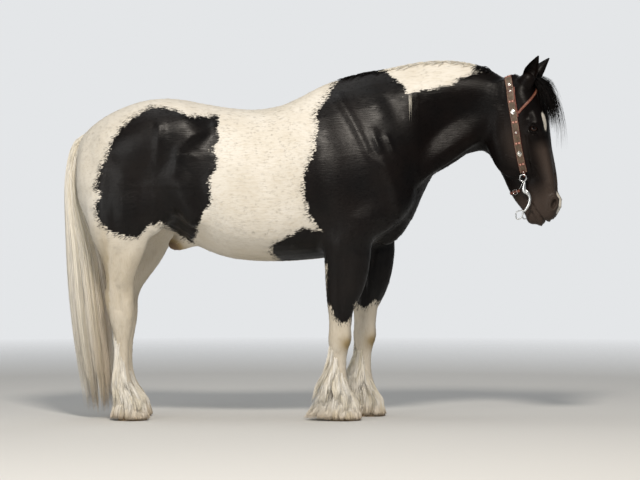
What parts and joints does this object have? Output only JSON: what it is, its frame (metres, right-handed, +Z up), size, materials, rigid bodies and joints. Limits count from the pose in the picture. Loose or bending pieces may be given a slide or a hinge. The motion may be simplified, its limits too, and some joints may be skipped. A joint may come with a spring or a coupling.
{
  "type": "standing draft horse",
  "caption": "Life-size standing draft horse, black and white pinto, feathered legs, long tail, mane and forelock, in a western bridle with a curb bit.",
  "frame": {"origin": "centre of the bounding box in plan, on the floor under the hooves", "axes": "+X towards the head along the body, +Y to the horse's left, +Z up"},
  "size_m": [2.536, 0.7112, 1.8397],
  "materials": {
    "black_coat": "short glossy black hair with a brown sheen",
    "white_coat": "white hair, longer and silky as feather below the knees and hocks",
    "tail_hair": "long wavy cream white hair",
    "horn": "pale hoof horn, satin",
    "eye": "wet dark brown eye",
    "leather": "tooled reddish brown leather with small studs",
    "steel": "worn satin steel"
  },
  "bodies": {
    "root": {"bit_loop_left": "steel", "bit_loop_right": "steel", "bit_ring_left": "steel", "bit_ring_right": "steel", "bit_shank_left": "steel", "bit_shank_right": "steel", "bridle_browband": "leather", "bridle_cheek_left": "leather", "bridle_cheek_right": "leather", "bridle_crown": "leather", "curb_strap": "leather", "ear_left": "black_coat", "ear_right": "black_coat", "eye_left": "eye", "eye_right": "eye", "foreleg_left": "black_coat", "foreleg_right": "black_coat", "head": "black_coat", "hindleg_left": "white_coat", "hindleg_right": "white_coat", "hoof_fore_left": "horn", "hoof_fore_right": "horn", "hoof_hind_left": "horn", "hoof_hind_right": "horn", "lower_foreleg_left": "white_coat", "lower_foreleg_right": "white_coat", "lower_hindleg_left": "white_coat", "lower_hindleg_right": "white_coat", "neck": "black_coat", "tail": "tail_hair", "torso": "black_coat"}
  },
  "joints": []
}
